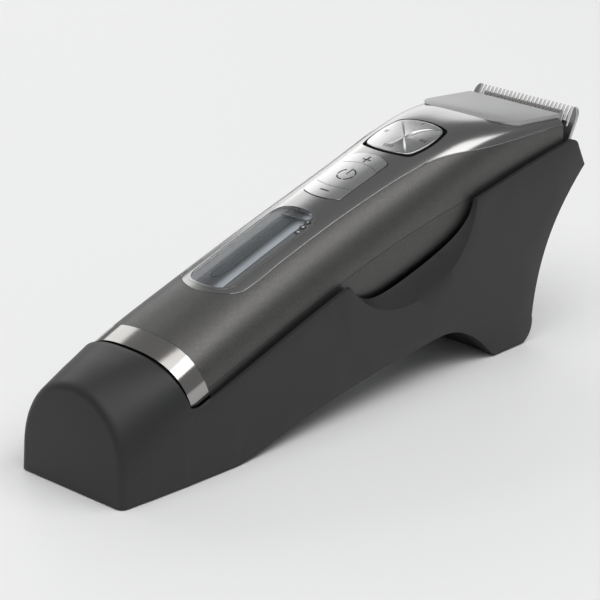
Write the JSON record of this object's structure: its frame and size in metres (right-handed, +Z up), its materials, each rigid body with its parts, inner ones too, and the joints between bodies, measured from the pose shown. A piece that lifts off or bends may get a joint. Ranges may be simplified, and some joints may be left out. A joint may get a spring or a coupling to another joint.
{
  "type": "hair clipper",
  "caption": "Cordless hair clipper with a tilting blade set, display window and control keys, seated in its sloping charging stand.",
  "frame": {"origin": "centre of the overall box at table level, under the rubber feet", "axes": "+X from the stand's low nose to the blade, +Y to the clipper's left, +Z up"},
  "size_m": [0.2094, 0.0488, 0.077],
  "materials": {
    "stand_plastic": "black moulded plastic, fine satin grain",
    "cover_plastic": "black moulded plastic",
    "foot_rubber": "soft black rubber",
    "screw_steel": "zinc-plated steel",
    "black_plastic": "black moulded plastic",
    "board_laminate": "green solder mask",
    "motor_steel": "plated steel",
    "contact_gold": "gold-plated",
    "shell_paint": "anthracite metallic paint, satin",
    "lower_plastic": "dark grey satin plastic",
    "panel_satin": "dark satin chrome plating",
    "plate_satin": "satin silver",
    "bezel_chrome": "polished rim",
    "smoked_lens": "smoked clear plastic",
    "ring_chrome": "polished dark chrome",
    "cell_wrap": "shrink sleeve",
    "switch_plastic": "switch body",
    "display_panel": "display, off",
    "key_satin": "dark satin chrome plating",
    "pad_satin": "satin chrome plating",
    "lever_plastic": "white acetal",
    "blade_steel": "ground stainless steel",
    "cutter_steel": "dark coated steel"
  },
  "bodies": {
    "stand": {"stand_housing": "stand_plastic", "base_cover": "cover_plastic", "rubber_feet": "foot_rubber", "base_screws": "screw_steel", "contact_block": "black_plastic", "stand_board": "board_laminate", "supply_inlet": "black_plastic", "ballast_block": "motor_steel"},
    "charge_pin_left": {"charge_pin_left": "contact_gold"},
    "charge_pin_right": {"charge_pin_right": "contact_gold"},
    "clipper": {"upper_shell": "shell_paint", "lower_shell": "lower_plastic", "top_panel": "panel_satin", "head_plate": "plate_satin", "window_bezel": "bezel_chrome", "display_window": "smoked_lens", "tail_ring": "ring_chrome", "tail_cap": "black_plastic", "tail_contacts": "contact_gold", "battery_cell": "cell_wrap", "cell_saddle": "black_plastic", "main_board": "board_laminate", "inner_frame": "black_plastic", "board_screws": "screw_steel", "key_switches": "switch_plastic", "display_module": "display_panel", "motor": "motor_steel", "motor_bracket": "screw_steel", "motor_screws": "screw_steel", "lever_post": "screw_steel", "blade_hinge_pin": "screw_steel", "head_bulkhead": "black_plastic"},
    "minus_key": {"minus_key": "key_satin"},
    "power_key": {"power_key": "key_satin"},
    "plus_key": {"plus_key": "key_satin"},
    "pad_gimbal": {"pad_gimbal": "black_plastic"},
    "length_pad": {"length_pad": "pad_satin"},
    "motor_crank": {"motor_crank": "screw_steel"},
    "drive_lever": {"drive_lever": "lever_plastic"},
    "blade_set": {"blade_holder": "black_plastic", "comb_blade": "blade_steel", "blade_screws": "screw_steel", "blade_spring": "screw_steel"},
    "length_bridge": {"length_bridge": "lever_plastic"},
    "cutter": {"cutter_blade": "cutter_steel", "cutter_driver": "lever_plastic"}
  },
  "joints": [
    {"name": "clipper_lift_off", "type": "slide", "parent": "stand", "child": "clipper", "axis": [0.9563, 0, 0.2924], "range_m": [0, 0.06]},
    {"name": "charge_pin_left_press", "type": "slide", "parent": "stand", "child": "charge_pin_left", "axis": [-0.9563, 0, -0.2924], "range_m": [0, 0.0015], "stiffness_N_per_m": 250},
    {"name": "charge_pin_right_press", "type": "slide", "parent": "stand", "child": "charge_pin_right", "axis": [-0.9563, 0, -0.2924], "range_m": [0, 0.0015], "stiffness_N_per_m": 250},
    {"name": "minus_key_press", "type": "slide", "parent": "clipper", "child": "minus_key", "axis": [0.2924, 0, -0.9563], "range_m": [0, 0.0005], "stiffness_N_per_m": 1500},
    {"name": "power_key_press", "type": "slide", "parent": "clipper", "child": "power_key", "axis": [0.2924, 0, -0.9563], "range_m": [0, 0.0005], "stiffness_N_per_m": 1500},
    {"name": "plus_key_press", "type": "slide", "parent": "clipper", "child": "plus_key", "axis": [0.2924, 0, -0.9563], "range_m": [0, 0.0005], "stiffness_N_per_m": 1500},
    {"name": "length_pad_roll", "type": "hinge", "parent": "clipper", "child": "pad_gimbal", "pos_m": [0.04208, 0, 0.07196], "axis": [0.9563, 0, 0.2924], "range_deg": [-2.5, 2.5], "stiffness_Nm_per_rad": 0.2},
    {"name": "length_pad_pitch", "type": "hinge", "parent": "pad_gimbal", "child": "length_pad", "pos_m": [0.04208, 0, 0.07196], "axis": [0, 1, 0], "range_deg": [-2.5, 2.5], "stiffness_Nm_per_rad": 0.2},
    {"name": "motor_spin", "type": "hinge", "parent": "clipper", "child": "motor_crank", "pos_m": [0.0263, 0, 0.04695], "axis": [0.9563, 0, 0.2924], "continuous": true},
    {"name": "drive_lever_swing", "type": "hinge", "parent": "clipper", "child": "drive_lever", "pos_m": [0.06359, 0, 0.05835], "axis": [-0.2924, 0, 0.9563], "range_deg": [-3, 3]},
    {"name": "blade_set_tilt", "type": "hinge", "parent": "clipper", "child": "blade_set", "pos_m": [0.08985, 0, 0.0561], "axis": [0, 1, 0], "range_deg": [0, 45]},
    {"name": "length_setting", "type": "slide", "parent": "blade_set", "child": "length_bridge", "axis": [-0.4695, 0, -0.8829], "range_m": [0, 0.0012]},
    {"name": "cutter_stroke", "type": "slide", "parent": "length_bridge", "child": "cutter", "axis": [0, 1, 0], "range_m": [-0.0015, 0.0015]}
  ],
  "couplings": [
    {"joint": "cutter_stroke", "follows": "drive_lever_swing", "m_per_rad": 0.0285}
  ]
}
